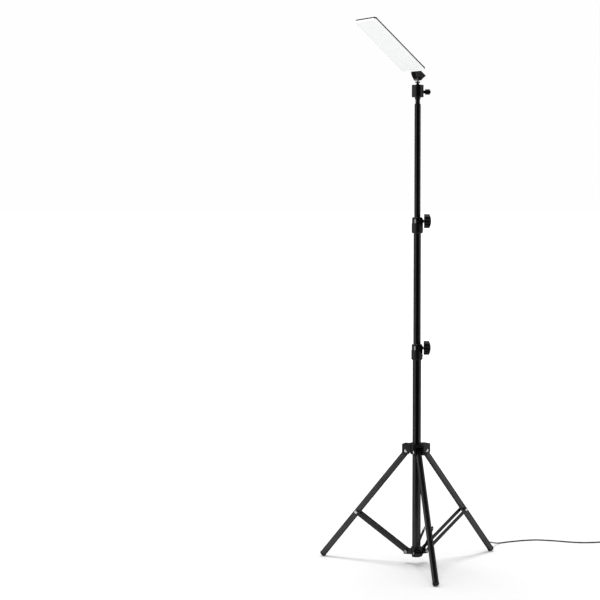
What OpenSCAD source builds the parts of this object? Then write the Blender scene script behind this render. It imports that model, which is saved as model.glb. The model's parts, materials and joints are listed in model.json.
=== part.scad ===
// LED panel light on a telescoping three-leg stand.
// +Z is up, the origin is on the floor on the mast's axis, and +Y points away from the front leg's side.

/* [Mast] */
// Outside diameter of the lower tube
lower_d = 22; // [21:0.5:23]
// Outside diameter of the middle tube
middle_d = 19; // [18.5:0.5:19]
// Outside diameter of the top tube
top_d = 16; // [15.5:0.5:16]
// Wall of every tube
wall = 1; // [0.8:0.1:1]
// Height of the lower collar's underside
lower_collar_z = 536; // [520:1:560]
// Height of the upper collar's underside
upper_collar_z = 864; // [850:1:880]
// Height of the top tube's upper end
top_tube_z = 1192; // [1180:1:1220]

/* [Legs] */
// Length of a leg from its crown pivot to its foot
leg_len = 379.2; // [370:0.2:400]
// Slope of an open leg from the floor, in degrees
leg_slope = 50.8; // [48:0.1:54]
// Diameter of a leg tube
leg_d = 16; // [15:0.5:16]
// Distance along the leg from the crown pivot to the brace pivot
brace_at = 220.8; // [200:0.2:225]
// Direction of the front leg seen from above, in degrees
front_az = -79.4; // [-90:0.1:-70]

/* [Light panel] */
// Length of the panel
panel_l = 188.6; // [150:0.2:220]
// Width of the panel
panel_w = 127; // [100:1:140]
// Thickness of the panel at its edge
panel_t = 7; // [7:0.5:9]
// Direction in which the panel's upper end points, in degrees
panel_az = 205.7; // [180:0.1:230]
// Rise of the panel's long axis above level, in degrees
panel_rise = 42.2; // [30:0.1:60]

/* [Cord] */
// Diameter of the cord
cord_d = 3.5; // [3:0.1:3.8]

/* [Hidden] */
$fn = 48;
LEG_NAMES = ["front", "right", "left"];

black = [0.06, 0.06, 0.065];
soft_black = [0.1, 0.1, 0.1];
steel = [0.8, 0.8, 0.82];
white = [0.95, 0.95, 0.95];

// Gap round a shaft that turns or slides in a hole, on the radius
run_gap = 0.05;
// How much smaller a plug is than the tube that it is pressed into, on the diameter
press_gap = 0.1;
// Length of a cutter that goes right through a part
through = 40;
rivet_r = 2.5;
rivet_head_r = 4.2;
rivet_head_h = 1.5;

// Legs and braces
pivot_r = 25.5;
foot_r = 8.5;
foot_round = 3;
foot_cap_h = 6;
foot_plug = 16;
hub_pivot_z = 33.2;
foot_end_z = foot_round + (foot_r - foot_round) * cos(leg_slope) - foot_round * sin(leg_slope);
crown_pivot_z = foot_end_z + leg_len * sin(leg_slope);
brace_rise = crown_pivot_z - brace_at * sin(leg_slope) - hub_pivot_z;
brace_run = brace_at * cos(leg_slope);
brace_len = norm([brace_run, brace_rise]);
brace_slope = atan2(brace_rise, brace_run);
strip_t = 2;
strip_h = 9.5;
strip_y = 9.5;
eye_len = 12;
eye_stem = 18;

// Crown and hub
crown_top = crown_pivot_z + 21;
crown_bottom = crown_pivot_z - 8;
sleeve_r = 16;
ear_gap = leg_d / 2 + 0.6;
ear_t = 4;
ear_end_r = 36;
ear_top = 18;
ear_drop = 8;
ear_round = 6;
ear_root = 12;
ear_sweep = 5;
roof_t = 5;
hub_r = 14;
hub_h = 19;
hub_lug_y = 9.3;
hub_lug_top = 5.5;
hub_lug_drop = 7;
hub_lug_end = 6.5;

// Collars, bushes and tubes
collar_r = 14.5;
collar_h = 41;
tube_seat = 25;
knob_rise = 31;
lower_tube_z = 26;
end_cap_h = 6.5;
end_plug_h = 14;
lower_tube_top = lower_collar_z + tube_seat;
middle_tube_z = 470;
middle_tube_top = upper_collar_z + tube_seat;
top_tube_bottom = 800;
guide_h = 18;
guide_rim = 4;
boss_r = 5.5;
rib_out = 3.6;
rib_h = 7;
window_az = -115;
window_w = 4;
window_h = 10;
key_gap = 0.2;

// Locking knobs
knob_r = 18;
knob_x = 17.3;
knob_rim = 13.5;
knob_dome = 4.8;
scallop_r = 6.5;
scallop_out = 5;
washer_r = 4.5;
washer_t = 1.6;
screw_r = 3;
screw_tip_gap = 0.2;

// Ball head
neck_z = top_tube_z + 5;
neck_r = 5.85;
neck_foot_r = 7.3;
neck_foot_h = 4.8;
spigot_len = 20;
spigot_stud_r = 3.1;
spigot_stud_h = 3.2;
head_screw_r = 2.5;
head_knob_r = 5.6;
head_knob_end = 33.5;
wing_size = [5, 2.4, 12];
housing_z = top_tube_z + 20.3;
housing_h = 31.7;
housing_r = 15;
housing_top = housing_z + housing_h;
ball_z = housing_top - 11;
ball_r = 11.5;
socket_r = 11.8;
chamber_r = 12.2;
mouth_r = 11.2;
stem_r = 3;
stem_root_r = 6.2;
flange_r = 6.5;
flange_h = 3;
seat_z = housing_top - 26;
seat_h = 11;
head_knob_z = housing_top - 18.3;
hinge_z = housing_top + 15;
lug_w = 22.4;
lug_r = 4.5;
lug_drop = 7;

// Panel, measured from the hinge pin: x along the panel, y across it, z towards its back
panel_x = 21.6;
face_z = 5.6;
back_z = face_z + panel_t;
frame_h = 4.2;
frame_wall = 4;
frame_lip = 6;
lip_t = 0.6;
diffuser_t = 2;
shell_wall = 2;
shell_t = 1.2;
corner_r = 8;
pack_x = 75;
pack_l = 100;
pack_w = 54;
pack_r = 5;
pack_wall = 1.5;
pack_top = back_z + 8.4;
board_inset = 8;
board_t = 1.2;
led_size = [3, 3, 0.8];
led_x = [40:20:200];
led_y = [-45:18:45];
driver_inset = 4;
driver_t = 1.5;
switch_size = [6, 6, 3];
chip_size = [20, 8, 4];
chip_at = [12, 12];
button_x = [95, 125, 155];
button_r = 4;
button_top = pack_top + 1.5;
button_bottom = back_z + 6.2;
button_gap = 0.2;
button_flange = 1;
button_flange_t = 0.8;
arm_y = 11.5;
arm_t = 3;
yoke_t = 4;
yoke_end = 45;
yoke_tail = 6.5;
yoke_step = 9;
screw_spots = [[27, 58], [27, -58], [205, 58], [205, -58]];
yoke_screw_spots = [[34, 8], [34, -8]];
shell_screw_r = 1.25;
shell_screw_reach = 1.1;
screw_head_r = 2.6;
screw_head_h = 1.6;
driver_slot = [4, 0.7, 2];
nut_r = 4.3;
nut_h = 4;
bolt_head_h = 3;
bolt_end = 6;

// Cord: it leaves the right leg level, near the foot and clear of where the brace folds, drops to the floor
// and runs off to the right
boot_at = 360;
boot_turn = 46;
boot_pitch = 30;
boot_root = 6;
boot_len = 18;
boot_r1 = 3.6;
boot_r2 = 2.3;
cord_z = cord_d / 2 + 0.05;
cord_route = [
    [197.3, 188.4, 19.2], [198.3, 193, 19.1], [199.8, 200, 18.3], [202.2, 209, 16.4], [205.5, 221, 13.4],
    [209.6, 233.5, 10], [214.6, 246, 6.8], [220.8, 258, 4], [229, 269, 2.3], [240, 279, cord_z],
    [254, 288, cord_z], [270, 296.5, cord_z], [288, 306, cord_z], [310, 314, cord_z],
    [336, 318, cord_z], [364, 313, cord_z], [392, 305, cord_z], [416, 296, cord_z], [440, 290, cord_z],
    [462, 288, cord_z], [484, 292, cord_z], [504, 298, cord_z], [519.5, 300, cord_z]
];
coil_mid_r = 19.5;
coil_pos = [540, 280.5, 0];
coil_w = 14;
coil_h = 10.5;
tie_t = 0.6;
tie_len = 8;
tail_x = coil_pos.x + coil_mid_r;
tail_y = coil_pos.y - 20.6;
tail_len = 16;
cord_tail = [
    [tail_x, tail_y, cord_z], [tail_x, tail_y - 4, cord_z],
    [tail_x, tail_y - 10, cord_z + 0.6], [tail_x, tail_y - tail_len, cord_z + 1]
];
plug_y = tail_y - tail_len - 0.3;
plug_z = 3.6;
grip_size = [12, 20, 7];
grip_neck = 7;
grip_len = grip_neck + grip_size.y;
usb_size = [12, 12, 4.5];
usb_wall = 0.4;
usb_mouth = [11.2, 11, 1.9];

// ---- shared shapes ----

module at_leg(i) rotate([0, 0, front_az + 120 * i]) children();

module along_leg(i) at_leg(i)
    translate([pivot_r, 0, crown_pivot_z]) rotate([0, 90 + leg_slope, 0]) children();

module along_brace(i) at_leg(i)
    translate([pivot_r, 0, hub_pivot_z]) rotate([0, -brace_slope, 0]) children();

module tube(d, z0, z1) translate([0, 0, z0]) difference() {
    cylinder(d = d, h = z1 - z0);
    translate([0, 0, -1]) cylinder(d = d - 2 * wall, h = z1 - z0 + 2);
}

// A pin along Y, centred on the origin
module cross_pin(r, length) rotate([90, 0, 0]) cylinder(r = r, h = length, center = true);

// A low domed rivet head whose flat side faces the origin, at distance y along Y
module rivet_head(y) {
    dome_r = (rivet_head_r * rivet_head_r + rivet_head_h * rivet_head_h) / (2 * rivet_head_h);
    mirror([0, y < 0 ? 1 : 0, 0]) translate([0, abs(y), 0]) rotate([-90, 0, 0])
        intersection() {
            cylinder(r = rivet_head_r, h = rivet_head_h);
            translate([0, 0, rivet_head_h - dome_r]) sphere(r = dome_r);
        }
}

module rivet(half) {
    cross_pin(rivet_r, 2 * half);
    rivet_head(half);
    rivet_head(-half);
}

module rounded_rect(l, w, r) {
    translate([r, -w / 2]) square([l - 2 * r, w]);
    translate([0, r - w / 2]) square([l, w - 2 * r]);
    for (x = [r, l - r], y = [r - w / 2, w / 2 - r]) translate([x, y]) circle(r = r);
}

// ---- tripod ----

// A plug pressed into the end of a tube of outside diameter d, from height z up
module tube_plug(d, z, h) translate([0, 0, z]) cylinder(d = d - 2 * wall - press_gap, h = h);

module lower_tube() color(black) tube(lower_d, lower_tube_z, lower_tube_top);

module mast_end_plug() color(soft_black) {
    translate([0, 0, lower_tube_z - end_cap_h]) cylinder(d = lower_d + 1, h = end_cap_h);
    tube_plug(lower_d, lower_tube_z, end_plug_h);
}

// A lug seen from its side, with the pivot at height 0: square below and rounded above
module hub_lug_outline() {
    root = hub_r - 4;
    translate([root, -hub_lug_drop]) square([pivot_r + hub_lug_end - root, hub_lug_drop]);
    translate([root, -1]) square([pivot_r - root, hub_lug_top + 1]);
    translate([pivot_r, 0]) circle(r = hub_lug_top);
}

module lower_hub() color(soft_black) difference() {
    union() {
        translate([0, 0, lower_tube_z]) cylinder(r = hub_r, h = hub_h);
        for (i = [0:2]) at_leg(i) translate([0, hub_lug_y, hub_pivot_z]) rotate([90, 0, 0])
            linear_extrude(2 * hub_lug_y) hub_lug_outline();
    }
    translate([0, 0, lower_tube_z - 1]) cylinder(d = lower_d, h = hub_h + 2);
    for (i = [0:2]) at_leg(i) translate([pivot_r, 0, hub_pivot_z]) cross_pin(rivet_r + run_gap, through);
}

module hub_rivets() color(steel)
    for (i = [0:2]) at_leg(i) translate([pivot_r, 0, hub_pivot_z]) rivet(strip_y + strip_t + 0.1);

// One wall of a clevis: rounded under the rivet, with its lower edge swept up towards the sleeve
module crown_ear(side) translate([0, side > 0 ? ear_gap + ear_t : -ear_gap, crown_pivot_z])
    rotate([90, 0, 0]) linear_extrude(ear_t) difference() {
        union() {
            translate([ear_root, 0]) square([ear_end_r - ear_root, ear_top]);
            translate([ear_root, -ear_drop]) square([ear_end_r - ear_root - ear_round, ear_drop + 1]);
            translate([ear_end_r - ear_round, ear_round - ear_drop]) circle(r = ear_round);
            translate([ear_end_r - ear_round, ear_round - ear_drop]) square([ear_round, ear_drop]);
        }
        translate([ear_root, -ear_drop]) circle(r = ear_sweep);
    }

module crown() color(soft_black) difference() {
    union() {
        translate([0, 0, crown_bottom]) cylinder(r = sleeve_r, h = crown_top - crown_bottom);
        for (i = [0:2]) at_leg(i) {
            crown_ear(1);
            crown_ear(-1);
            translate([ear_root, -ear_gap - 1, crown_pivot_z + ear_top - roof_t])
                cube([ear_end_r - ear_root, 2 * ear_gap + 2, roof_t]);
        }
    }
    translate([0, 0, crown_bottom - 1])
        cylinder(r = lower_d / 2 + run_gap, h = crown_top - crown_bottom + 2);
    for (i = [0:2]) at_leg(i) translate([pivot_r, 0, crown_pivot_z]) cross_pin(rivet_r + run_gap, through);
}

module crown_rivets() color(steel)
    for (i = [0:2]) at_leg(i) translate([pivot_r, 0, crown_pivot_z]) rivet(ear_gap + ear_t);

module leg(i) color(black) along_leg(i) difference() {
    tube(leg_d, eye_len, leg_len - foot_cap_h);
    translate([0, 0, brace_at]) cross_pin(rivet_r, through);
}

module leg_eye(i) color(soft_black) along_leg(i) difference() {
    union() {
        intersection() {
            translate([0, 0, -leg_d]) cylinder(d = leg_d, h = leg_d + eye_len);
            union() {
                cross_pin(leg_d / 2, leg_d);
                translate([-leg_d / 2, -leg_d / 2, 0]) cube([leg_d, leg_d, eye_len]);
            }
        }
        tube_plug(leg_d, eye_len, eye_stem);
    }
    cross_pin(rivet_r + run_gap, through);
}

module foot(i) color(soft_black) along_leg(i) translate([0, 0, leg_len]) rotate([180, 0, 0]) {
    rotate_extrude() {
        square([foot_r - foot_round, foot_cap_h]);
        translate([0, foot_round]) square([foot_r, foot_cap_h - foot_round]);
        intersection() {
            translate([foot_r - foot_round, foot_round]) circle(r = foot_round);
            square([foot_r, foot_cap_h]);
        }
    }
    tube_plug(leg_d, foot_cap_h, foot_plug);
}

module leg_pin(i) color(steel) along_leg(i) translate([0, 0, brace_at]) cross_pin(rivet_r, leg_d);

module brace(i) color(black) along_brace(i) for (side = [-1, 1])
    translate([0, side * (strip_y + strip_t / 2), 0]) difference() {
        union() {
            translate([0, -strip_t / 2, -strip_h / 2]) cube([brace_len, strip_t, strip_h]);
            for (x = [0, brace_len]) translate([x, 0, 0]) cross_pin(strip_h / 2, strip_t);
        }
        for (x = [0, brace_len]) translate([x, 0, 0]) cross_pin(rivet_r + run_gap, strip_t + 2);
    }

// The rivet that holds both strips to the leg shows as a domed head with a short neck in each strip
module brace_rivets(i) color(steel) along_brace(i) translate([brace_len, 0, 0]) for (side = [-1, 1]) {
    translate([0, side * (strip_y + strip_t / 2), 0]) cross_pin(rivet_r + run_gap, strip_t);
    rivet_head(side * (strip_y + strip_t));
}

// ---- telescoping mast ----

// A clamp collar that stands on the outer tube's end, at height z, for an outer tube of diameter d
module collar(z, d) color(soft_black) translate([0, 0, z]) difference() {
    union() {
        rotate_extrude() polygon([
            [0, 0], [collar_r - 2, 0], [collar_r, 2], [collar_r, tube_seat],
            [collar_r - 1, tube_seat + 1], [collar_r - 1, collar_h - 2], [collar_r - 3, collar_h],
            [0, collar_h]
        ]);
        translate([0, 0, knob_rise]) rotate([0, 90, 0]) cylinder(r = boss_r, h = knob_x - washer_t - 0.2);
        translate([collar_r - 2, 2, 7]) rotate([90, 0, 0])
            linear_extrude(4) polygon([[0, 0], [rib_out, rib_h / 2], [0, rib_h]]);
    }
    translate([0, 0, -1]) cylinder(d = d, h = collar_h + 2);
    translate([0, 0, knob_rise]) rotate([0, 90, 0]) cylinder(r = screw_r + run_gap, h = through);
    rotate([0, 0, window_az]) translate([5, -window_w / 2, tube_seat + 1]) cube([20, window_w, window_h]);
}

// The nylon bush above the outer tube's end, in which the inner tube slides. Its key stands in the collar's
// window, so that it can't turn
module bush(z, outer, inner) color(white) translate([0, 0, z + tube_seat]) difference() {
    union() {
        cylinder(d = outer, h = collar_h - tube_seat);
        rotate([0, 0, window_az]) translate([inner / 2, key_gap - window_w / 2, 1 + key_gap])
            cube([collar_r - 1 - inner / 2, window_w - 2 * key_gap, window_h - 2 * key_gap]);
    }
    translate([0, 0, -1]) cylinder(r = inner / 2 + run_gap, h = through);
    translate([0, 0, knob_rise - tube_seat]) rotate([0, 90, 0]) cylinder(r = screw_r + run_gap, h = through);
}

// A ribbed locking knob with its steel stud, lying along +X at height z, whose stud ends at x = tip
module locking_knob(z, tip) color(black) translate([0, 0, z]) rotate([0, 90, 0]) {
    dome_r = (knob_r * knob_r + knob_dome * knob_dome) / (2 * knob_dome);
    difference() {
        intersection() {
            translate([0, 0, knob_x]) cylinder(r = knob_r, h = knob_rim + knob_dome);
            translate([0, 0, knob_x + knob_rim + knob_dome - dome_r]) sphere(r = dome_r);
        }
        for (a = [0:45:315]) rotate([0, 0, a + 22.5]) translate([knob_r + scallop_out, 0, knob_x - 1])
            cylinder(r = scallop_r, h = through);
    }
    translate([0, 0, knob_x - washer_t]) cylinder(r = washer_r, h = washer_t);
    translate([0, 0, tip]) cylinder(r = screw_r, h = knob_x - tip);
}

// The guide at an inner tube's lower end, which slides in the outer tube
module guide(z, outer_tube_d, inner_tube_d) color(white) {
    translate([0, 0, z - guide_rim]) cylinder(r = outer_tube_d / 2 - wall - run_gap, h = guide_rim);
    tube_plug(inner_tube_d, z, guide_h);
}

module lower_collar() collar(lower_collar_z, lower_d);

module lower_bush() bush(lower_collar_z, lower_d, middle_d);

module lower_knob() locking_knob(lower_collar_z + knob_rise, middle_d / 2 + screw_tip_gap);

module middle_tube() color(black) tube(middle_d, middle_tube_z, middle_tube_top);

module middle_guide() guide(middle_tube_z, lower_d, middle_d);

module upper_collar() collar(upper_collar_z, middle_d);

module upper_bush() bush(upper_collar_z, middle_d, top_d);

module upper_knob() locking_knob(upper_collar_z + knob_rise, top_d / 2 + screw_tip_gap);

module top_tube() color(black) tube(top_d, top_tube_bottom, top_tube_z);

module top_guide() guide(top_tube_bottom, middle_d, top_d);

// ---- ball head ----

module top_spigot() color(black) {
    rotate_extrude() polygon([
        [0, top_tube_z], [top_d / 2, top_tube_z], [top_d / 2, top_tube_z + 1], [neck_r, neck_z],
        [neck_r, housing_z - neck_foot_h - 0.5], [neck_foot_r, housing_z - neck_foot_h],
        [neck_foot_r, housing_z], [0, housing_z]
    ]);
    tube_plug(top_d, top_tube_z - spigot_len, spigot_len);
    translate([0, 0, housing_z]) cylinder(r = spigot_stud_r, h = spigot_stud_h);
}

module ball_housing() color(soft_black) difference() {
    rotate_extrude() polygon([
        [0, housing_z], [housing_r - 0.8, housing_z], [housing_r, housing_z + 0.8],
        [housing_r, housing_top - 1], [housing_r - 1, housing_top], [0, housing_top]
    ]);
    translate([0, 0, housing_z - 1]) cylinder(r = spigot_stud_r + run_gap, h = 8);
    translate([0, 0, seat_z]) cylinder(r = chamber_r, h = ball_z - 2.9 - seat_z);
    translate([0, 0, ball_z]) sphere(r = socket_r, $fn = 64);
    translate([0, 0, ball_z + 7]) cylinder(r1 = 8, r2 = mouth_r, h = 4.2);
    translate([0, 0, head_knob_z]) rotate([0, 90, 0]) cylinder(r = head_screw_r + run_gap, h = through);
}

module head_knob() color(black) translate([0, 0, head_knob_z]) rotate([0, 90, 0]) {
    rotate_extrude() polygon([
        [0, chamber_r + 0.2], [head_screw_r, chamber_r + 0.2], [head_screw_r, 15.2],
        [3.4, 15.2], [3.4, 17.2], [head_knob_r - 0.4, 18.4], [head_knob_r, 22],
        [head_knob_r - 0.2, head_knob_end - 5], [head_knob_r - 2, head_knob_end - 0.8], [0, head_knob_end]
    ]);
    for (side = [-1, 1]) translate([side * (head_knob_r - 1.2), 0, head_knob_end - 8.5])
        cube(wing_size, center = true);
}

module ball_seat() color(white) difference() {
    translate([0, 0, seat_z + 0.1]) cylinder(r = chamber_r - 0.1, h = seat_h - 0.5);
    translate([0, 0, ball_z]) sphere(r = ball_r + run_gap, $fn = 64);
}

module ball_stem() color(soft_black) {
    translate([0, 0, ball_z]) sphere(r = ball_r, $fn = 64);
    translate([0, 0, ball_z + 9]) cylinder(r1 = stem_root_r, r2 = stem_r, h = 5.5);
    translate([0, 0, ball_z + 12]) cylinder(r = stem_r, h = hinge_z - lug_drop - flange_h - ball_z - 12);
    translate([0, 0, hinge_z - lug_drop - flange_h]) cylinder(r = flange_r, h = flange_h);
}

module hinge_lug() color(steel) translate([0, 0, hinge_z]) rotate([0, 0, panel_az]) difference() {
    union() {
        cross_pin(lug_r, lug_w);
        translate([0, 0, -lug_drop]) cylinder(r = stem_r, h = 5);
    }
    cross_pin(rivet_r + run_gap, lug_w + 2);
}

// ---- light panel, in its own frame at the hinge pin ----

module on_hinge() translate([0, 0, hinge_z]) rotate([0, 0, panel_az]) rotate([0, -panel_rise, 0]) children();

// A slab of the panel's outline shrunk by inset, between z0 and z1
module slab(inset, z0, z1) translate([panel_x + inset, 0, z0]) linear_extrude(z1 - z0)
    rounded_rect(panel_l - 2 * inset, panel_w - 2 * inset, corner_r - inset / 2);

module front_frame() color(white) on_hinge() difference() {
    slab(0, face_z, face_z + frame_h);
    slab(frame_lip, face_z - 1, face_z + 1);
    slab(frame_wall, face_z + lip_t, face_z + frame_h + 1);
}

module diffuser() color(white) on_hinge() slab(frame_wall + 0.2, face_z + lip_t, face_z + lip_t + diffuser_t);

module led_board() color(white) on_hinge() {
    slab(board_inset, back_z - shell_t - board_t, back_z - shell_t);
    for (x = led_x, y = led_y)
        translate([x - led_size.x / 2, y - led_size.y / 2, back_z - shell_t - board_t - led_size.z])
            cube(led_size);
}

module back_shell() color(black) on_hinge() difference() {
    union() {
        slab(0, face_z + frame_h, back_z);
        translate([pack_x, 0, back_z]) linear_extrude(pack_top - back_z) rounded_rect(pack_l, pack_w, pack_r);
    }
    slab(shell_wall, face_z + frame_h - 1, back_z - shell_t);
    translate([pack_x + pack_wall, 0, back_z]) linear_extrude(pack_top - back_z - pack_wall)
        rounded_rect(pack_l - 2 * pack_wall, pack_w - 2 * pack_wall, pack_r - pack_wall);
    for (x = button_x) translate([x, 0, back_z]) cylinder(r = button_r + button_gap, h = through);
    for (p = concat(screw_spots, yoke_screw_spots))
        translate([p.x, p.y, back_z - 2]) cylinder(r = shell_screw_r, h = 4);
}

module driver_board() color("darkgreen") on_hinge() {
    translate([pack_x + driver_inset, driver_inset - pack_w / 2, back_z + 0.02])
        cube([pack_l - 2 * driver_inset, pack_w - 2 * driver_inset, driver_t]);
    for (x = button_x) translate([x - switch_size.x / 2, -switch_size.y / 2, back_z + driver_t])
        cube(switch_size);
    translate([pack_x + chip_at.x, chip_at.y, back_z + driver_t]) cube(chip_size);
}

module panel_button(k) color(soft_black) on_hinge() translate([button_x[k], 0, 0]) {
    translate([0, 0, button_bottom]) cylinder(r = button_r, h = button_top - button_bottom);
    translate([0, 0, button_bottom + button_gap - button_flange_t])
        cylinder(r = button_r + button_flange, h = button_flange_t);
}

// Four shell screws, and two that hold the yoke: all the same pan-head screw
module panel_screws() color(steel) on_hinge() {
    for (p = screw_spots) translate([p.x, p.y, 0]) panel_screw(back_z);
    for (p = yoke_screw_spots) translate([p.x, p.y, 0]) panel_screw(back_z + yoke_t);
}

module panel_screw(z) {
    translate([0, 0, z]) difference() {
        cylinder(r = screw_head_r, h = screw_head_h);
        translate([0, 0, screw_head_h + 0.4]) cube(driver_slot, center = true);
    }
    translate([0, 0, back_z - shell_screw_reach])
        cylinder(r = shell_screw_r, h = z - back_z + shell_screw_reach);
}

module yoke_arm_outline() {
    circle(r = lug_r);
    polygon([
        [-4.4, 1], [1, -4.4], [12, -1.5], [panel_x - 1.1, 4], [panel_x - 1.1, back_z],
        [yoke_end - yoke_step, back_z], [yoke_end - yoke_step, back_z + yoke_t],
        [-yoke_tail, back_z + yoke_t]
    ]);
}

module yoke() color(soft_black) on_hinge() difference() {
    union() {
        for (side = [-1, 1]) translate([0, side * (arm_y + arm_t / 2) + arm_t / 2, 0]) rotate([90, 0, 0])
            linear_extrude(arm_t) yoke_arm_outline();
        translate([-yoke_tail, -arm_y - arm_t, back_z])
            cube([yoke_end + yoke_tail, 2 * (arm_y + arm_t), yoke_t]);
    }
    cross_pin(rivet_r, through);
    for (p = yoke_screw_spots) translate([p.x, p.y, back_z - 1]) cylinder(r = shell_screw_r, h = 10);
}

module hinge_bolt() color(steel) on_hinge() {
    cross_pin(rivet_r, 2 * (arm_y + arm_t));
    translate([0, -arm_y - arm_t, 0]) rotate([90, 0, 0]) cylinder(r = nut_r, h = bolt_head_h, $fn = 6);
    translate([0, arm_y + arm_t + bolt_end / 2, 0]) cross_pin(rivet_r, bolt_end);
}

module hinge_nut() color(steel) on_hinge() translate([0, arm_y + arm_t, 0]) rotate([-90, 0, 0]) difference() {
    cylinder(r = nut_r, h = nut_h, $fn = 6);
    translate([0, 0, -1]) cylinder(r = rivet_r, h = nut_h + 2);
}

// ---- cord ----

function blend_point(a, b, c, d, t) =
    0.5 * (2 * b + (c - a) * t + (2 * a - 5 * b + 4 * c - d) * t * t + (3 * b - a - 3 * c + d) * t * t * t);

function smooth_path(pts, steps) = [
    for (i = [0:len(pts) - 2], s = [0:steps - 1])
        blend_point(pts[max(i - 1, 0)], pts[i], pts[i + 1], pts[min(i + 2, len(pts) - 1)], s / steps),
    pts[len(pts) - 1]
];

function unit(v) = v / norm(v);

function ring(path, i, r, sides) = let (
    ahead = unit(path[min(i + 1, len(path) - 1)] - path[max(i - 1, 0)]),
    side = unit(cross([0, 0, 1], ahead)),
    up = cross(ahead, side)
) [for (k = [0:sides - 1]) path[i] + r * (cos(360 * k / sides) * side + sin(360 * k / sides) * up)];

module swept_cord(pts, steps, d) {
    sides = 8;
    path = smooth_path(pts, steps);
    n = len(path);
    points = [for (i = [0:n - 1]) each ring(path, i, d / 2, sides)];
    walls = [for (i = [0:n - 2], k = [0:sides - 1]) let (a = i * sides, b = a + sides, m = (k + 1) % sides)
        [a + k, b + k, b + m, a + m]];
    near_cap = [for (k = [0:sides - 1]) k];
    far_cap = [for (k = [sides - 1:-1:0]) (n - 1) * sides + k];
    polyhedron(points, concat(walls, [near_cap], [far_cap]));
}

module cord_boot() color(black) along_leg(1) difference() {
    translate([0, 0, boot_at]) rotate([0, 0, boot_turn]) rotate([boot_pitch - 90, 0, 0])
        translate([0, 0, boot_root]) cylinder(r1 = boot_r1, r2 = boot_r2, h = boot_len);
    cylinder(d = leg_d, h = leg_len);
}

module power_cord() color(black) {
    swept_cord(cord_route, 2, cord_d);
    swept_cord(cord_tail, 1, cord_d);
}

module cord_coil() color(black) translate(coil_pos) rotate_extrude()
    translate([coil_mid_r - coil_w / 2, tie_t + 0.1]) square([coil_w, coil_h]);

module cord_tie() color(black) translate([coil_pos.x, coil_pos.y - coil_mid_r, 0]) difference() {
    translate([-tie_len / 2, -coil_w / 2 - tie_t, 0.05])
        cube([tie_len, coil_w + 2 * tie_t, coil_h + 2 * tie_t + 0.1]);
    translate([0, coil_mid_r, tie_t + 0.1]) difference() {
        cylinder(r = coil_mid_r + coil_w / 2, h = coil_h);
        translate([0, 0, -1]) cylinder(r = coil_mid_r - coil_w / 2, h = coil_h + 2);
    }
}

module usb_plug_grip() color(black) translate([tail_x, plug_y, plug_z]) {
    rotate([90, 0, 0]) cylinder(r1 = 2.2, r2 = 3, h = grip_neck);
    translate([-grip_size.x / 2, -grip_len, -grip_size.z / 2]) cube(grip_size);
}

module usb_plug_shell() color(steel) translate([tail_x, plug_y - grip_len, plug_z]) difference() {
    translate([-usb_size.x / 2, -usb_size.y, -usb_size.z / 2]) cube(usb_size);
    translate([-usb_mouth.x / 2, -usb_size.y - 1, usb_size.z / 2 - usb_wall - usb_mouth.z]) cube(usb_mouth);
}

lower_tube();
mast_end_plug();
lower_hub();
hub_rivets();
lower_collar();
lower_bush();
crown();
crown_rivets();
for (i = [0:2]) {
    leg(i);
    leg_eye(i);
    foot(i);
    leg_pin(i);
    brace(i);
    brace_rivets(i);
}
lower_knob();
middle_tube();
middle_guide();
upper_collar();
upper_bush();
upper_knob();
top_tube();
top_guide();
top_spigot();
ball_housing();
head_knob();
ball_seat();
ball_stem();
hinge_lug();
back_shell();
front_frame();
diffuser();
led_board();
driver_board();
yoke();
hinge_bolt();
hinge_nut();
panel_screws();
panel_button(0);  // power_button
panel_button(1);  // dimmer_button
panel_button(2);  // brighter_button
cord_boot();
power_cord();
cord_coil();
cord_tie();
usb_plug_grip();
usb_plug_shell();
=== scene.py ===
"""Looks for the LED panel light on its telescoping tripod stand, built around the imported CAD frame."""
import json
import math

import bmesh
import bpy
from mathutils import Matrix, Vector

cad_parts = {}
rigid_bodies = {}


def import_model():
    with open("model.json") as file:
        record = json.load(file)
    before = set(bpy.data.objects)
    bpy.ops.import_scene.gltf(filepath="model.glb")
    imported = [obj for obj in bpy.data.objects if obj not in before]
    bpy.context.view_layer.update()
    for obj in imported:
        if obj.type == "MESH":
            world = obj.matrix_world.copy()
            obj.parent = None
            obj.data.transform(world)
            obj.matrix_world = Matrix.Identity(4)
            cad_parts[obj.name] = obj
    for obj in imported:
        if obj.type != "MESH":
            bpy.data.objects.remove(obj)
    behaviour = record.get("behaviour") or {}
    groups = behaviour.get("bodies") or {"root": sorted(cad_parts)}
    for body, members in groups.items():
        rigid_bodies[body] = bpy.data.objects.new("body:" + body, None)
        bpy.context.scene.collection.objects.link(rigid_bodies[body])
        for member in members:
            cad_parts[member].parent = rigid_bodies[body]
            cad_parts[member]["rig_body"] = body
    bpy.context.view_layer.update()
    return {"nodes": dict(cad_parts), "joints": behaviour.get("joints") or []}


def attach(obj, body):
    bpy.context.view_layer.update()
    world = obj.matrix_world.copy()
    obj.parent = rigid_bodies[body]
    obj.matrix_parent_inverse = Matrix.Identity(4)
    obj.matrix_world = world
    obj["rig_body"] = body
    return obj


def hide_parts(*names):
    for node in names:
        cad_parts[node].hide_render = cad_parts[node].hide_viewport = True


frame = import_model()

NODES = frame["nodes"]
JOINTS = {joint["name"]: joint for joint in frame["joints"]}
LEGS = ("front", "right", "left")
MM = 0.001


# ---------------------------------------------------------------- camera, stage and light

CAMERA_DISTANCE = 4.9
CAMERA_HEIGHT = 1.068
CAMERA_PAN = math.radians(3.54)
CAMERA_PITCH = math.radians(4.40)
CAMERA_ROLL = math.radians(-0.098)
CAMERA_LENS = 113.9
SENSOR_WIDTH = 36
CAMERA_REACH = 60

# The floor ends here in front of the stand, and the white surroundings show below its edge
FLOOR_FRONT = -0.55
FLOOR_REACH = 30
PAPER_WHITE = 0.72
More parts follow.
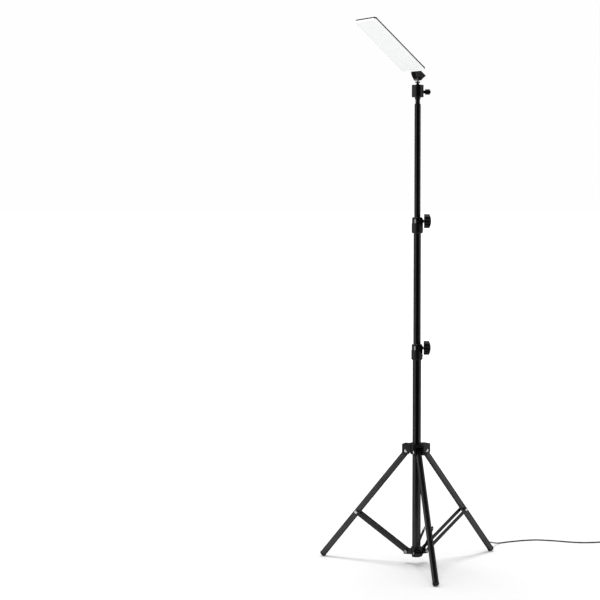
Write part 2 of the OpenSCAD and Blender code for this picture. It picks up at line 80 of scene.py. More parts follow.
# How strongly the paper glows near the stand and far from it, and between which distances that changes
NEAR_GLOW = 0.02
FAR_GLOW = 0.5
GLOW_RISES_FROM = 0.3
GLOW_RISES_TO = 3.0

SURROUNDINGS = 0.991
# What reflections see as dark: its turn about the vertical, and how far it reaches to each side
DARK_TURN = math.radians(12.5)
DARK_HALF_WIDTH = math.radians(47.5)
DARK_EDGE_BLUR = 0.07
# How nearly a direction points behind the stand where white starts, and where it is full
BEHIND_RISES = (0.2, 0.5)
LIGHT_TARGET = (0, 0, 0.7)


def add_camera():
    data = bpy.data.cameras.new("camera")
    data.lens = CAMERA_LENS
    data.sensor_width = SENSOR_WIDTH
    data.clip_end = CAMERA_REACH
    camera = bpy.data.objects.new("camera", data)
    bpy.context.scene.collection.objects.link(camera)
    turn = Matrix.Rotation(CAMERA_PAN, 4, "Z") @ Matrix.Rotation(math.pi / 2 - CAMERA_PITCH, 4, "X")
    turn = turn @ Matrix.Rotation(CAMERA_ROLL, 4, "Z")
    camera.matrix_world = Matrix.Translation((0, -CAMERA_DISTANCE, CAMERA_HEIGHT)) @ turn
    bpy.context.scene.camera = camera


def floor_paper():
    """Matt white paper, a little brighter far away so that it meets the white surroundings unseen."""
    material = bpy.data.materials.new("floor_paper")
    material.use_nodes = True
    tree = material.node_tree
    shader = tree.nodes["Principled BSDF"]
    shader.inputs["Base Color"].default_value = (PAPER_WHITE, PAPER_WHITE, PAPER_WHITE, 1)
    shader.inputs["Roughness"].default_value = 1
    shader.inputs["Specular IOR Level"].default_value = 0
    shader.inputs["Emission Color"].default_value = (1, 1, 1, 1)
    coords = tree.nodes.new("ShaderNodeTexCoord")
    distance = tree.nodes.new("ShaderNodeVectorMath")
    distance.operation = "LENGTH"
    glow = tree.nodes.new("ShaderNodeMapRange")
    glow.interpolation_type = "SMOOTHSTEP"
    glow.inputs["From Min"].default_value = GLOW_RISES_FROM
    glow.inputs["From Max"].default_value = GLOW_RISES_TO
    glow.inputs["To Min"].default_value = NEAR_GLOW
    glow.inputs["To Max"].default_value = FAR_GLOW
    tree.links.new(coords.outputs["Object"], distance.inputs[0])
    tree.links.new(distance.outputs["Value"], glow.inputs["Value"])
    tree.links.new(glow.outputs["Result"], shader.inputs["Emission Strength"])
    return material


def add_floor():
    mesh = bpy.data.meshes.new("floor")
    far = FLOOR_REACH
    corners = [(-far, FLOOR_FRONT, 0), (far, FLOOR_FRONT, 0), (far, far, 0), (-far, far, 0)]
    mesh.from_pydata(corners, [], [(0, 1, 2, 3)])
    floor = bpy.data.objects.new("floor", mesh)
    bpy.context.scene.collection.objects.link(floor)
    mesh.materials.append(floor_paper())


def toward(tree, direction, axis, low, high):
    """A value that rises from 0 to 1 as the world's direction turns to face the axis."""
    facing = tree.nodes.new("ShaderNodeVectorMath")
    facing.operation = "DOT_PRODUCT"
    facing.inputs[1].default_value = axis
    tree.links.new(direction, facing.inputs[0])
    ramp = tree.nodes.new("ShaderNodeMapRange")
    ramp.interpolation_type = "SMOOTHSTEP"
    ramp.inputs["From Min"].default_value = low
    ramp.inputs["From Max"].default_value = high
    tree.links.new(facing.outputs["Value"], ramp.inputs["Value"])
    return ramp.outputs["Result"]


def larger(tree, first, second):
    node = tree.nodes.new("ShaderNodeMath")
    node.operation = "MAXIMUM"
    tree.links.new(first, node.inputs[0])
    tree.links.new(second, node.inputs[1])
    return node.outputs["Value"]


def one_minus(tree, value):
    node = tree.nodes.new("ShaderNodeMath")
    node.operation = "SUBTRACT"
    node.inputs[0].default_value = 1
    tree.links.new(value, node.inputs[1])
    return node.outputs["Value"]


def add_world():
    """White surroundings. In reflections they are dark in front of the stand and above it."""
    world = bpy.data.worlds.new("studio")
    bpy.context.scene.world = world
    world.use_nodes = True
    tree = world.node_tree
    direction = tree.nodes.new("ShaderNodeTexCoord").outputs["Generated"]
    glossy_ray = tree.nodes.new("ShaderNodeLightPath").outputs["Is Glossy Ray"]
    side = (math.cos(DARK_TURN), math.sin(DARK_TURN), 0)
    other_side = (-side[0], -side[1], 0)
    behind = (-side[1], side[0], 0)
    low = math.sin(DARK_HALF_WIDTH) - DARK_EDGE_BLUR
    high = math.sin(DARK_HALF_WIDTH) + DARK_EDGE_BLUR
    on_a_side = larger(
        tree, toward(tree, direction, side, low, high), toward(tree, direction, other_side, low, high))
    bright = larger(tree, on_a_side, toward(tree, direction, behind, *BEHIND_RISES))
    bright = larger(tree, bright, one_minus(tree, glossy_ray))
    background = tree.nodes["Background"]
    tree.links.new(bright, background.inputs["Strength"])
    background.inputs["Color"].default_value = (SURROUNDINGS, SURROUNDINGS, SURROUNDINGS, 1)


def add_area_light(name, position, size, power):
    data = bpy.data.lights.new(name, "AREA")
    data.shape = "DISK"
    data.size = size
    data.energy = power
    light = bpy.data.objects.new(name, data)
    light.location = position
    aim = Vector(LIGHT_TARGET) - Vector(position)
    light.rotation_euler = aim.to_track_quat("-Z", "Y").to_euler()
    bpy.context.scene.collection.objects.link(light)


def add_studio():
    bpy.context.scene.view_settings.view_transform = "Standard"
    add_camera()
    add_floor()
    add_world()
    add_area_light("overhead_softbox", position=(-0.27, 0.4, 3.4), size=0.9, power=56)
    add_area_light("left_softbox", position=(-2.6, -1.2, 1.9), size=1.0, power=2)


# ---------------------------------------------------------------- mesh helpers

# How far apart two vertices may be, in metres, and still be taken for one
SAME_PLACE = 2e-6
# Faces that meet at less than this angle are one flat face
FLAT_ANGLE = math.radians(0.6)
# Edges that turn by more than this are rounded
BEVEL_ANGLE = math.radians(28)
BEVEL_SEGMENTS = 3


def new_object(name, mesh):
    piece = bpy.data.objects.new(name, mesh)
    bpy.context.scene.collection.objects.link(piece)
    return piece


def mesh_object(name, verts, faces):
    mesh = bpy.data.meshes.new(name)
    mesh.from_pydata([tuple(v) for v in verts], [], faces)
    mesh.update()
    return new_object(name, mesh)


def smooth(piece, angle=32):
    """Smooth shading, except at edges that turn by more than the angle, in degrees."""
    mesh = piece.data
    mesh.polygons.foreach_set("use_smooth", [True] * len(mesh.polygons))
    mesh.set_sharp_from_angle(angle=math.radians(angle))


def bevel(piece, width):
    modifier = piece.modifiers.new("edges", "BEVEL")
    modifier.width = width
    modifier.segments = BEVEL_SEGMENTS
    modifier.limit_method = "ANGLE"
    modifier.angle_limit = BEVEL_ANGLE
    modifier.miter_outer = "MITER_ARC"
    modifier.harden_normals = True


def stand_in(piece, node):
    """The piece rides with the CAD node's body and replaces the node."""
    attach(piece, NODES[node]["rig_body"])
    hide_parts(node)


def refined(node, width, material):
    """A copy of a CAD node whose flat faces are whole and whose edges are rounded."""
    mesh = NODES[node].data.copy()
    mesh.name = node + "_finished"
    if "custom_normal" in mesh.attributes:
        mesh.attributes.remove(mesh.attributes["custom_normal"])
    cage = bmesh.new()
    cage.from_mesh(mesh)
    bmesh.ops.remove_doubles(cage, verts=cage.verts, dist=SAME_PLACE)
    bmesh.ops.dissolve_limit(cage, angle_limit=FLAT_ANGLE, verts=cage.verts, edges=cage.edges)
    cage.normal_update()
    cage.to_mesh(mesh)
    cage.free()
    mesh.materials.clear()
    mesh.materials.append(material)
    piece = new_object(node + "_finished", mesh)
    smooth(piece)
    bevel(piece, width)
    stand_in(piece, node)
    return piece


def ring_faces(low, high):
    """The faces between two rings of as many vertices each."""
    count = len(low)
    return [(low[k], low[(k + 1) % count], high[(k + 1) % count], high[k]) for k in range(count)]


def lathe(name, profile, matrix, material, steps):
    """A closed turned shape: profile is (radius, height) from one end of the axis to the other."""
    verts = [Vector((0, 0, profile[0][1])), Vector((0, 0, profile[-1][1]))]
    rings = []
    for radius, height in profile:
        rings.append(range(len(verts), len(verts) + steps))
        for step in range(steps):
            turn = 2 * math.pi * step / steps
            verts.append(Vector((radius * math.cos(turn), radius * math.sin(turn), height)))
    faces = []
    for low, high in zip(rings, rings[1:]):
        faces += ring_faces(low, high)
    first, last = rings[0], rings[-1]
    for step in range(steps):
        after = (step + 1) % steps
        faces.append((0, first[after], first[step]))
        faces.append((1, last[step], last[after]))
    piece = mesh_object(name, [matrix @ vert for vert in verts], faces)
    piece.data.materials.append(material)
    smooth(piece)
    return piece


def arc(centre, radius, start, end, count):
    """Points on a circle round that centre, as (radius, height) pairs, between two angles in degrees."""
    angles = [math.radians(start + (end - start) * k / count) for k in range(count + 1)]
    return [(centre[0] + radius * math.cos(a), centre[1] + radius * math.sin(a)) for a in angles]


def axis_frame(origin, axis):
    """The matrix whose z runs along the axis and whose x points as nearly upward as it can."""
    up = Vector((0, 0, 1))
    z = Vector(axis).normalized()
    x = (up - up.dot(z) * z).normalized()
    y = z.cross(x)
    turn = Matrix((x, y, z)).transposed().to_4x4()
    return Matrix.Translation(Vector(origin)) @ turn


# ---------------------------------------------------------------- materials

# How much of its gloss a black part keeps where its surface turns away
EDGE_TINT = 0.25
BLUE_CAST = 1.03
# A pattern's values between these two are stretched over the whole of a variation
PATTERN_LOW = 0.3
PATTERN_HIGH = 0.7


def shade(color, factor):
    return tuple(channel * factor for channel in color)


class Finish:
    """A small builder for a procedural material on the Principled shader."""

    def __init__(self, name, color, roughness, metallic=0.0, specular=0.5):
        self.material = bpy.data.materials.new(name)
        self.material.use_nodes = True
        self.tree = self.material.node_tree
        self.shader = self.tree.nodes["Principled BSDF"]
        self.set("Base Color", (*color, 1))
        self.set("Roughness", roughness)
        self.set("Metallic", metallic)
        self.set("Specular IOR Level", specular)
        self.color = color
        self.normal = None
        self.coords = self.tree.nodes.new("ShaderNodeTexCoord")

    def set(self, socket, value):
        self.shader.inputs[socket].default_value = value

    def scaled(self, stretch):
        mapping = self.tree.nodes.new("ShaderNodeMapping")
        mapping.inputs["Scale"].default_value = stretch
        self.tree.links.new(self.coords.outputs["Object"], mapping.inputs["Vector"])
        return mapping.outputs["Vector"]

    def noise(self, scale, detail, stretch=(1, 1, 1)):
        texture = self.tree.nodes.new("ShaderNodeTexNoise")
        texture.inputs["Scale"].default_value = scale
        texture.inputs["Detail"].default_value = detail
        self.tree.links.new(self.scaled(stretch), texture.inputs["Vector"])
        return texture.outputs["Fac"]

    def cells(self, scale):
        texture = self.tree.nodes.new("ShaderNodeTexVoronoi")
        texture.inputs["Scale"].default_value = scale
        self.tree.links.new(self.scaled((1, 1, 1)), texture.inputs["Vector"])
        return texture.outputs["Distance"]

    def spread(self, pattern, low, high):
        """The pattern, stretched to run from low to high."""
        remap = self.tree.nodes.new("ShaderNodeMapRange")
        remap.inputs["From Min"].default_value = PATTERN_LOW
        remap.inputs["From Max"].default_value = PATTERN_HIGH
        remap.inputs["To Min"].default_value = low
        remap.inputs["To Max"].default_value = high
        self.tree.links.new(pattern, remap.inputs["Value"])
        return remap.outputs["Result"]

    def vary_roughness(self, pattern, low, high):
        self.tree.links.new(self.spread(pattern, low, high), self.shader.inputs["Roughness"])

    def vary_color(self, pattern, other):
        mix = self.tree.nodes.new("ShaderNodeMix")
        mix.data_type = "RGBA"
        mix.inputs["A"].default_value = (*self.color, 1)
        mix.inputs["B"].default_value = (*other, 1)
        self.tree.links.new(self.spread(pattern, 0, 1), mix.inputs["Factor"])
        self.tree.links.new(mix.outputs["Result"], self.shader.inputs["Base Color"])

    def bump(self, pattern, distance):
        """Relief that is as high as the distance, on top of any relief that is there already."""
        bump = self.tree.nodes.new("ShaderNodeBump")
        bump.inputs["Distance"].default_value = distance
        bump.inputs["Strength"].default_value = 1
        self.tree.links.new(pattern, bump.inputs["Height"])
        if self.normal:
            self.tree.links.new(self.normal, bump.inputs["Normal"])
        self.normal = bump.outputs["Normal"]
        self.tree.links.new(self.normal, self.shader.inputs["Normal"])


def satin_black(name, gloss, roughness):
    """Gloss that stays low where the surface turns away, as on a satin black part against white."""
    color = (gloss, gloss, gloss * BLUE_CAST)
    finish = Finish(name, color, roughness, metallic=1.0)
    finish.set("Specular Tint", (EDGE_TINT, EDGE_TINT, EDGE_TINT, 1))
    return finish


def powder_coat(name, gloss, roughness, lengthwise):
    """Satin black powder coat: an orange-peel skin, with long faint rub marks where a tube slides."""
    finish = satin_black(name, gloss, roughness)
    finish.vary_color(finish.noise(scale=28, detail=4), shade(finish.color, 1.25))
    rubs = finish.noise(scale=900, detail=2, stretch=lengthwise)
    finish.vary_roughness(rubs, roughness - 0.05, roughness + 0.06)
    finish.bump(finish.noise(scale=1400, detail=2), distance=0.000009)
    finish.bump(finish.noise(scale=500, detail=3, stretch=lengthwise), distance=0.000004)
    return finish.material


def moulded_plastic(name, gloss, roughness, grain=2600):
    """Black moulded plastic with a fine spark-eroded grain."""
    finish = satin_black(name, gloss, roughness)
    finish.vary_color(finish.noise(scale=60, detail=4), shade(finish.color, 1.3))
    finish.vary_roughness(finish.noise(scale=350, detail=4), roughness - 0.06, roughness + 0.07)
    finish.bump(finish.cells(grain), distance=0.000025)
    return finish.material


def plated_steel(name, color, roughness):
    finish = Finish(name, color, roughness, metallic=1.0)
    finish.vary_color(finish.noise(scale=180, detail=4), shade(color, 0.86))
    finish.vary_roughness(finish.noise(scale=700, detail=4), roughness - 0.06, roughness + 0.1)
    finish.bump(finish.noise(scale=3000, detail=3), distance=0.000006)
    return finish.material


def matt_rubber(name, color, roughness):
    finish = Finish(name, color, roughness, specular=0.35)
    finish.vary_color(finish.noise(scale=90, detail=5), shade(color, 1.7))
    finish.vary_roughness(finish.noise(scale=400, detail=4), roughness - 0.08, roughness + 0.06)
    finish.bump(finish.noise(scale=2200, detail=4), distance=0.00003)
    return finish.material


def pale_plastic(name, color, roughness):
    finish = Finish(name, color, roughness)
    finish.vary_color(finish.noise(scale=25, detail=3), shade(color, 0.985))
    finish.vary_roughness(finish.noise(scale=500, detail=3), roughness - 0.04, roughness + 0.05)
    finish.bump(finish.noise(scale=3500, detail=2), distance=0.000006)
    return finish.material


def frosted_sheet(name):
    """Frosted acrylic, evenly matt, with its light on low behind it."""
    finish = Finish(name, color=(0.8, 0.81, 0.81), roughness=0.55, specular=0.3)
    finish.vary_color(finish.noise(scale=6, detail=2), (0.79, 0.8, 0.8))
    finish.vary_roughness(finish.noise(scale=900, detail=3), 0.52, 0.6)
    finish.bump(finish.cells(5200), distance=0.000004)
    finish.set("Emission Color", (0.97, 1, 1, 1))
    finish.set("Emission Strength", 0.05)
    return finish.material


def hook_and_loop(name):
    finish = Finish(name, color=(0.02, 0.02, 0.02), roughness=0.9, specular=0.2)
    finish.vary_color(finish.cells(2600), (0.05, 0.05, 0.05))
    finish.bump(finish.cells(2600), distance=0.0002)
    finish.set("Sheen Weight", 0.4)
    return finish.material


def circuit_board(name, color):
    finish = Finish(name, color, roughness=0.4)
    finish.vary_color(finish.cells(260), shade(color, 0.8))
    finish.bump(finish.noise(scale=900, detail=3), distance=0.00001)
    return finish.material


COAT = powder_coat("black_powder_coat", 0.034, 0.27, (1, 1, 0.02))
LEG_COAT = powder_coat("leg_powder_coat", 0.05, 0.3, (1, 1, 0.2))
STRIP_PAINT = powder_coat("strip_paint", 0.034, 0.36, (1, 1, 1))
NYLON = moulded_plastic("black_nylon", 0.032, 0.42)
KNOB_PLASTIC = moulded_plastic("knob_plastic", 0.022, 0.46, 3200)
HEAD_METAL = powder_coat("anodised_black", 0.036, 0.34, (1, 1, 1))
SHELL_PLASTIC = moulded_plastic("shell_plastic", 0.03, 0.55, 3000)
YOKE_PLASTIC = moulded_plastic("yoke_plastic", 0.07, 0.48)
GUNMETAL = plated_steel("gunmetal", (0.03, 0.03, 0.032), 0.4)
BLACK_OXIDE = plated_steel("black_oxide", (0.035, 0.035, 0.037), 0.38)
LED_PACKAGE = pale_plastic("led_package", (0.78, 0.66, 0.28), 0.3)
CHIP_PLASTIC = moulded_plastic("chip_plastic", 0.035, 0.4)
STEEL = plated_steel("nickel_plate", (0.34, 0.34, 0.35), 0.32)
BRIGHT_STEEL = plated_steel("bright_nickel", (0.72, 0.72, 0.73), 0.36)
ZINC = plated_steel("bright_zinc", (0.36, 0.365, 0.38), 0.34)
PALE_NYLON = pale_plastic("pale_nylon", (0.3, 0.3, 0.285), 0.5)
FRAME_WHITE = pale_plastic("white_frame", (0.9, 0.9, 0.9), 0.35)
DIFFUSER = frosted_sheet("frosted_acrylic")
RUBBER = matt_rubber("foot_rubber", (0.004, 0.004, 0.004), 0.7)
BUTTON_RUBBER = matt_rubber("button_rubber", (0.03, 0.03, 0.031), 0.65)
CORD_JACKET = matt_rubber("cord_jacket", (0.006, 0.006, 0.0063), 0.5)
TIE_FABRIC = hook_and_loop("hook_and_loop")
LED_BOARD = circuit_board("white_solder_mask", (0.82, 0.82, 0.8))
DRIVER_BOARD = circuit_board("green_solder_mask", (0.015, 0.12, 0.05))


# ---------------------------------------------------------------- cord

CORD_R = 1.75 * MM
# The route, coil and tail repeat those of part.scad, in millimetres
CORD_HEIGHT = 1.8
CORD_ROUTE = [
    (197.3, 188.4, 19.2), (198.3, 193, 19.1), (199.8, 200, 18.3), (202.2, 209, 16.4), (205.5, 221, 13.4),
    (209.6, 233.5, 10), (214.6, 246, 6.8), (220.8, 258, 4), (229, 269, 2.3), (240, 279, 1.8),
    (254, 288, 1.8), (270, 296.5, 1.8), (288, 306, 1.8), (310, 314, 1.8),
    (336, 318, 1.8), (364, 313, 1.8), (392, 305, 1.8), (416, 296, 1.8), (440, 290, 1.8),
    (462, 288, 1.8), (484, 292, 1.8), (504, 298, 1.8), (519.5, 300, 1.8),
]
# Points on the smooth line for each point of the route
CORD_STEPS = 4
# Steps round a quarter of the cord, beyond the first
CORD_ROUNDNESS = 4
COIL_X, COIL_Y = 540, 280.5
COIL_MID_R = 19.5
COIL_TURNS = 11.25
COIL_PER_LAYER = 4
COIL_FLOOR = 2.6
# How closely the turns lie beside and on each other, as a share of the cord's diameter
COIL_ACROSS = 0.98
COIL_UPWARD = 0.92
TURN_POINTS = 24
TAIL_X = COIL_X + COIL_MID_R
TAIL_END_Y = COIL_Y - 36.6
TAIL = [
    (TAIL_X + 0.6, COIL_Y - 9, 9.4), (TAIL_X + 0.2, COIL_Y - 19.6, 6.2),
    (TAIL_X, COIL_Y - 28.6, 3.4), (TAIL_X, TAIL_END_Y, 2.8),
]


def coil_points():
    """The turns of the coil: each layer winds across the coil, and the next one winds back on top of it."""
    diameter = 2 * CORD_R / MM
    last_place = COIL_PER_LAYER - 1
    count = int(COIL_TURNS * TURN_POINTS)
    points = []
    for k in range(count + 1):
        turns = COIL_TURNS * k / count
        layer, along = divmod(turns, COIL_PER_LAYER)
        across = min(along, last_place)
        if layer % 2:
            across = last_place - across
        climb = max(0.0, along - last_place)
        radius = COIL_MID_R + (across - last_place / 2) * diameter * COIL_ACROSS
        height = COIL_FLOOR + (layer + climb) * diameter * COIL_UPWARD
        angle = math.pi / 2 - 2 * math.pi * turns
        points.append(Vector((COIL_X + radius * math.cos(angle), COIL_Y + radius * math.sin(angle), height)))
    return points


def smooth_line(points):
    """A smooth line through the points, which never dips below the cord's own height on the floor."""
    line = []
    for i in range(len(points) - 1):
        before, start = points[max(i - 1, 0)], points[i]
        end, after = points[i + 1], points[min(i + 2, len(points) - 1)]
        bend = 2 * before - 5 * start + 4 * end - after
        twist = 3 * start - before - 3 * end + after
        for k in range(CORD_STEPS):
            t = k / CORD_STEPS
            point = 0.5 * (2 * start + (end - before) * t + bend * t * t + twist * t ** 3)
            point.z = max(point.z, CORD_HEIGHT)
            line.append(point)
    return line + [points[-1]]


def cord_line():
    """Route, coil and tail as one line, in metres."""
    coil = coil_points()
    route = smooth_line([Vector(point) for point in CORD_ROUTE] + [coil[1]])
    tail = smooth_line([coil[-2]] + [Vector(point) for point in TAIL])
    return [point * MM for point in route[:-1] + coil[1:-2] + tail]


def add_cord():
    data = bpy.data.curves.new("power_lead", "CURVE")
    data.dimensions = "3D"
    data.bevel_depth = CORD_R
    data.bevel_resolution = CORD_ROUNDNESS
    data.use_fill_caps = True
    line = cord_line()
    spline = data.splines.new("POLY")
    spline.points.add(len(line) - 1)
    for point, position in zip(spline.points, line):
        point.co = (*position, 1)
    spline.use_smooth = True
    data.materials.append(CORD_JACKET)
    lead = new_object("power_lead", data)
    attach(lead, "mast")
    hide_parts("power_cord", "cord_coil")
    length = sum((b - a).length for a, b in zip(line, line[1:]))
    return lead, line, length


# ---------------------------------------------------------------- shapes kept from the CAD

# The hinge and the panel's two angles, as in part.scad
HINGE_Z = 1259 * MM
PANEL_TURN = math.radians(205.7)
PANEL_RISE = math.radians(42.2)
# The steel washer and stud of a locking knob lie nearer the mast than this
KNOB_BACK = 17.2 * MM
# The hinge lug is dark round its barrel, and bright from this far below the hinge
LUG_NECK = 4.4 * MM
# Everything on the LED board that is less than this above its lowest point is an LED's package
LED_HEIGHT = 0.7 * MM
# Everything on the driver board that is higher than this above its underside is a component
BOARD_THICKNESS = 1.8 * MM
# The black band painted on the white frame's upper end: how far above the face it starts, and how wide it is
END_BAND_FROM_FACE = 2.1 * MM
END_BAND = 3 * MM
# Nodes whose CAD shape is right, with the width that their edges are rounded by in millimetres
KEPT = [
    (("lower_tube", "middle_tube", "top_tube"), 0.2, COAT, "mast_tube"),
    (("leg_front", "leg_right", "leg_left"), 0.2, LEG_COAT, "leg_tube"),
    (("brace_front", "brace_right", "brace_left"), 0.5, STRIP_PAINT, "brace_steel"),
    (("lower_hub", "crown", "lower_collar", "upper_collar"), 0.7, NYLON, "moulded_nylon"),
    (("mast_end_plug", "leg_eye_front", "leg_eye_right", "leg_eye_left"), 0.3, NYLON, "moulded_nylon"),
    (("lower_bush", "upper_bush", "middle_guide", "top_guide", "ball_seat"), 0.3, PALE_NYLON, "pale_nylon"),
    (("ball_housing", "top_spigot", "ball_stem"), 0.3, HEAD_METAL, "head_metal"),
    (("hinge_lug",), 0.4, ZINC, "lug_zinc"),
    (("back_shell",), 0.5, SHELL_PLASTIC, "shell_plastic"),
    (("yoke",), 0.7, YOKE_PLASTIC, "yoke_plastic"),
    (("front_frame",), 0.4, FRAME_WHITE, "frame_plastic"),
    (("diffuser",), 0.3, DIFFUSER, "diffuser_plastic"),
    (("led_board",), 0.15, LED_BOARD, "led_circuit"),
    (("driver_board",), 0.2, DRIVER_BOARD, "driver_circuit"),
    (("power_button", "dimmer_button", "brighter_button"), 0.6, BUTTON_RUBBER, "button_rubber"),
    (("crown_rivets",), 0.2, BRIGHT_STEEL, "rivet_steel"),
    (("hub_rivets", "panel_screws"), 0.2, STEEL, "rivet_steel"),
    (("hinge_bolt", "hinge_nut"), 0.2, BLACK_OXIDE, "rivet_steel"),
    (("leg_pin_front", "leg_pin_right", "leg_pin_left"), 0.2, STEEL, "rivet_steel"),
    (("brace_rivets_front", "brace_rivets_right", "brace_rivets_left"), 0.2, BRIGHT_STEEL, "rivet_steel"),
    (("lower_knob", "upper_knob", "head_knob"), 0.6, KNOB_PLASTIC, "knob_plastic"),
    (("usb_plug_shell",), 0.2, STEEL, "usb_shell"),
]


def keep_shapes():
    """The same shapes as the CAD's, with rounded edges and a real finish."""
    kept = {}
    for names, width, material, slot in KEPT:
        for name in names:
            kept[name] = refined(name, width * MM, material)
    return kept


def paint(piece, material, test):
    """Gives a second material to the faces whose centre passes the test."""
    piece.data.materials.append(material)
    for face in piece.data.polygons:
        if test(face.center):
            face.material_index = 1


def cut_at(piece, point, normal):
    """Adds an edge where a plane crosses the piece, so that each side of it can be painted on its own."""
    cage = bmesh.new()
    cage.from_mesh(piece.data)
    everything = cage.verts[:] + cage.edges[:] + cage.faces[:]
    bmesh.ops.bisect_plane(cage, geom=everything, plane_co=point, plane_no=normal)
    cage.to_mesh(piece.data)
    cage.free()


def panel_frame():
    """The panel's own frame: x along it from the hinge, y across it, z towards its back."""
    turn = Matrix.Rotation(PANEL_TURN, 4, "Z") @ Matrix.Rotation(-PANEL_RISE, 4, "Y")
    return Matrix.Translation((0, 0, HINGE_Z)) @ turn


def panel_points(node):
    to_panel = panel_frame().inverted()
    return [to_panel @ vertex.co for vertex in NODES[node].data.vertices]


def paint_boards(kept):
    """The LEDs' packages and the driver board's components."""
    to_panel = panel_frame().inverted()
    led_limit = min(point.z for point in panel_points("led_board")) + LED_HEIGHT
    paint(kept["led_board"], LED_PACKAGE, lambda centre: (to_panel @ centre).z < led_limit)
    board_top = min(point.z for point in panel_points("driver_board")) + BOARD_THICKNESS
    paint(kept["driver_board"], CHIP_PLASTIC, lambda centre: (to_panel @ centre).z > board_top)


def paint_end_band(kept):
    """The white frame's upper end, painted black in a band towards its back."""
    panel = panel_frame()
    turn = panel.to_3x3()
    to_panel = panel.inverted()
    points = panel_points("front_frame")
    band_from_face = min(point.z for point in points) + END_BAND_FROM_FACE
    band = max(point.x for point in points) - END_BAND
    white_frame = kept["front_frame"]
    cut_at(white_frame, panel @ Vector((0, 0, band_from_face)), turn @ Vector((0, 0, 1)))
    cut_at(white_frame, panel @ Vector((band, 0, 0)), turn @ Vector((1, 0, 0)))

    def in_band(centre):
        place = to_panel @ centre
        return place.z > band_from_face and place.x > band

    # The white frame's faces inside that band are painted black
    paint(white_frame, SHELL_PLASTIC, in_band)


def paint_details(kept):
    """Parts of one moulding or board that have a finish of their own."""
    for name in ("lower_knob", "upper_knob"):
        paint(kept[name], STEEL, lambda centre: centre.x < KNOB_BACK)
    paint(kept["hinge_lug"], GUNMETAL, lambda centre: centre.z > HINGE_Z - LUG_NECK)
    paint_boards(kept)
    paint_end_band(kept)


# ---------------------------------------------------------------- feet

# The leg and its foot, as in part.scad
LEG_SLOPE = math.radians(50.8)
LEG_LENGTH = 379.2 * MM
FOOT_R = 8.5 * MM
FOOT_H = 6 * MM
FOOT_ROUND = 3 * MM
# The foot's upper edge, as (how far inside its radius, how far below its top)
FOOT_LIP = [(1.2 * MM, 0), (0.4 * MM, 0.05 * MM), (0, 0.4 * MM)]
FOOT_GROOVES_AT = (1.2 * MM, 2.3 * MM)
# A groove of the foot, as (how far from its middle, how deep)
FOOT_GROOVE = [(-0.3 * MM, 0), (-0.1 * MM, 0.45 * MM), (0.1 * MM, 0.45 * MM), (0.3 * MM, 0)]


def leg_matrix(name):
    """A frame at the leg's crown pivot whose z runs down the leg."""
    pivot = Vector(JOINTS["leg_" + name + "_fold"]["pos_m"])
    out = Vector((pivot.x, pivot.y, 0)).normalized()
    down = math.cos(LEG_SLOPE) * out - math.sin(LEG_SLOPE) * Vector((0, 0, 1))
    return axis_frame(pivot, down)


def add_foot(name):
    """A rubber tip with two grip grooves and a rounded sole."""
    top = LEG_LENGTH - FOOT_H
    profile = [(FOOT_R - inside, top + down) for inside, down in FOOT_LIP]
    for at in FOOT_GROOVES_AT:
        profile += [(FOOT_R - deep, top + at + along) for along, deep in FOOT_GROOVE]
    profile += arc((FOOT_R - FOOT_ROUND, LEG_LENGTH - FOOT_ROUND), FOOT_ROUND, start=0, end=90, count=8)
    foot = lathe("foot_tip_" + name, profile, leg_matrix(name), RUBBER, steps=72)
    stand_in(foot, "foot_" + name)


# ---------------------------------------------------------------- pieces on the cord, in millimetres

BOOT_LENGTH = 18
BOOT_THIN = 2.35
BOOT_THICK = 3.55
# The boot's two plain ends, as (radius, how far from its tip)
BOOT_TIP = [(BOOT_THIN - 0.3, 0.2), (BOOT_THIN, 0.5)]
BOOT_PLAIN = [(BOOT_THICK, 13.6), (BOOT_THICK, BOOT_LENGTH - 1)]
BOOT_SLOTS_AT = [1.5, 3.4, 5.3, 7.2, 9.1, 11]
# A slot between two of the boot's ribs, as (how far from its middle, how deep)
BOOT_SLOT = [(-0.5, 0), (-0.15, 0.45), (0.25, 0.45), (0.6, 0)]

# The grip starts just past the end of the tail
GRIP_Y = TAIL_END_Y - 0.3
GRIP_Z = 3.6
# The neck's tip, as (how far along, radius)
NECK_TIP = [(0, 1.9), (0.3, 2.2)]
NECK_GROOVES_AT = [1.2, 2.9, 4.6]
# A groove of the neck, as (how far from its middle, radius)
NECK_GROOVE = [(-0.5, 2.4), (-0.2, 1.95), (0.3, 1.95), (0.6, 2.5)]
# Sections of the grip, as (how far along, half width, half height, squareness): 2 is round
GRIP_SHOULDER = [(6, 2.8, 2.7, 2.2), (7, 4.4, 3.1, 3), (8, 5.6, 3.45, 4.5)]
GRIP_SQUARENESS = 6
GRIP_GROOVES_AT = [11, 14, 17, 20]
# A finger groove, as (how far from its middle, half width, half height)
GRIP_GROOVE = [(-0.7, 6, 3.5), (-0.3, 5.65, 3.3), (0.3, 5.65, 3.3), (0.7, 6, 3.5)]
GRIP_END = [(26.4, 6, 3.5, GRIP_SQUARENESS), (27, 5.5, 3.1, GRIP_SQUARENESS)]

TIE_HEIGHT = 6.1
# Half the width and height of the strap's outside
TIE_HALF_Y = 7.25
TIE_HALF_Z = 5.75
TIE_SQUARENESS = 5
TIE_WIDTH = 8
TIE_THICKNESS = 0.5
TIE_START = math.radians(60)
TIE_TURNS = 1.12
TIE_STEPS = 110
# The strap rises onto itself just before a whole turn
LAP_AT = 0.97
LAP_RISE = 0.03


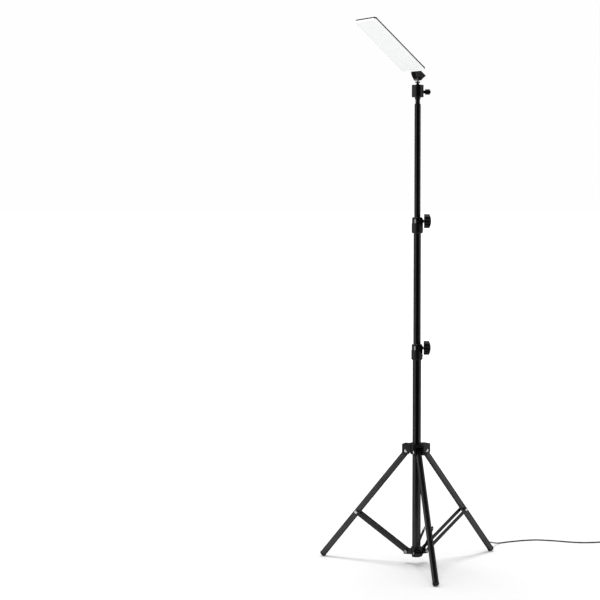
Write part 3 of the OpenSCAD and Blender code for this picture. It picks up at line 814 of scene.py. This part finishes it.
def add_boot(line):
    """A ribbed, tapered strain relief from where the cord comes out to the leg's wall."""
    back = (line[0] - line[1]).normalized()
    profile = list(BOOT_TIP)
    for at in BOOT_SLOTS_AT:
        wide = BOOT_THIN + (BOOT_THICK - BOOT_THIN) * at / BOOT_LENGTH
        profile += [(wide - deep, at + along) for along, deep in BOOT_SLOT]
    profile += BOOT_PLAIN
    profile = [(radius * MM, height * MM) for radius, height in profile]
    boot = lathe("strain_relief", profile, axis_frame(line[0], back), CORD_JACKET, steps=40)
    stand_in(boot, "cord_boot")
    return boot


def squared(value, squareness):
    """A sine or cosine for an outline that is rounder or squarer: 2 leaves it a circle."""
    return math.copysign(abs(value) ** (2 / squareness), value)


def loft(name, sections, steps, material):
    """A closed skin over the grip's sections."""
    verts = []
    for along, wide, high, squareness in sections:
        for step in range(steps):
            turn = 2 * math.pi * step / steps
            x = TAIL_X + wide * squared(math.cos(turn), squareness)
            z = GRIP_Z + high * squared(math.sin(turn), squareness)
            verts.append(Vector((x, GRIP_Y - along, z)) * MM)
    rings = [range(first, first + steps) for first in range(0, len(verts), steps)]
    faces = []
    for low, high in zip(rings, rings[1:]):
        for step in range(steps):
            after = (step + 1) % steps
            faces.append((low[step], high[step], high[after], low[after]))
    faces.append(tuple(rings[0]))
    faces.append(tuple(reversed(rings[-1])))
    piece = mesh_object(name, verts, faces)
    piece.data.materials.append(material)
    smooth(piece, 40)
    return piece


def add_plug_grip():
    """An overmoulded grip: a ribbed neck, then a soft-edged block with finger grooves."""
    sections = [(along, radius, radius, 2) for along, radius in NECK_TIP]
    for at in NECK_GROOVES_AT:
        sections += [(at + along, radius, radius, 2) for along, radius in NECK_GROOVE]
    sections += GRIP_SHOULDER
    for at in GRIP_GROOVES_AT:
        sections += [(at + along, wide, high, GRIP_SQUARENESS) for along, wide, high in GRIP_GROOVE]
    sections += GRIP_END
    grip = loft("plug_grip", sections, 48, CORD_JACKET)
    stand_in(grip, "usb_plug_grip")
    return grip


def tie_section(turns):
    """The strap's four corners after that many turns round the coil, raised where it laps over itself."""
    angle = TIE_START - 2 * math.pi * turns
    over = TIE_THICKNESS * max(0.0, min(1.0, (turns - LAP_AT) / LAP_RISE))
    y = (TIE_HALF_Y + over) * squared(math.cos(angle), TIE_SQUARENESS)
    z = (TIE_HALF_Z + over) * squared(math.sin(angle), TIE_SQUARENESS)
    outward = Vector((0, y / TIE_HALF_Y ** 2, z / TIE_HALF_Z ** 2)).normalized()
    outside = Vector((COIL_X, COIL_Y - COIL_MID_R + y, TIE_HEIGHT + z))
    inside = outside - outward * TIE_THICKNESS
    half = Vector((TIE_WIDTH / 2, 0, 0))
    return [corner * MM for corner in (inside - half, inside + half, outside + half, outside - half)]


def add_tie():
    """A fabric strap wound once round the coil's turns, with its end lapped over on top."""
    verts, faces = [], []
    for step in range(TIE_STEPS + 1):
        verts += tie_section(TIE_TURNS * step / TIE_STEPS)
    rings = [range(first, first + 4) for first in range(0, len(verts), 4)]
    for low, high in zip(rings, rings[1:]):
        faces += ring_faces(low, high)
    faces.append(tuple(reversed(rings[0])))
    faces.append(tuple(rings[-1]))
    tie = mesh_object("tie_strap", verts, faces)
    tie.data.materials.append(TIE_FABRIC)
    smooth(tie, 50)
    stand_in(tie, "cord_tie")
    return tie


add_studio()
lead, lead_line, lead_length = add_cord()
kept = keep_shapes()
paint_details(kept)
for leg in LEGS:
    add_foot(leg)
add_boot(lead_line)
add_tie()
add_plug_grip()
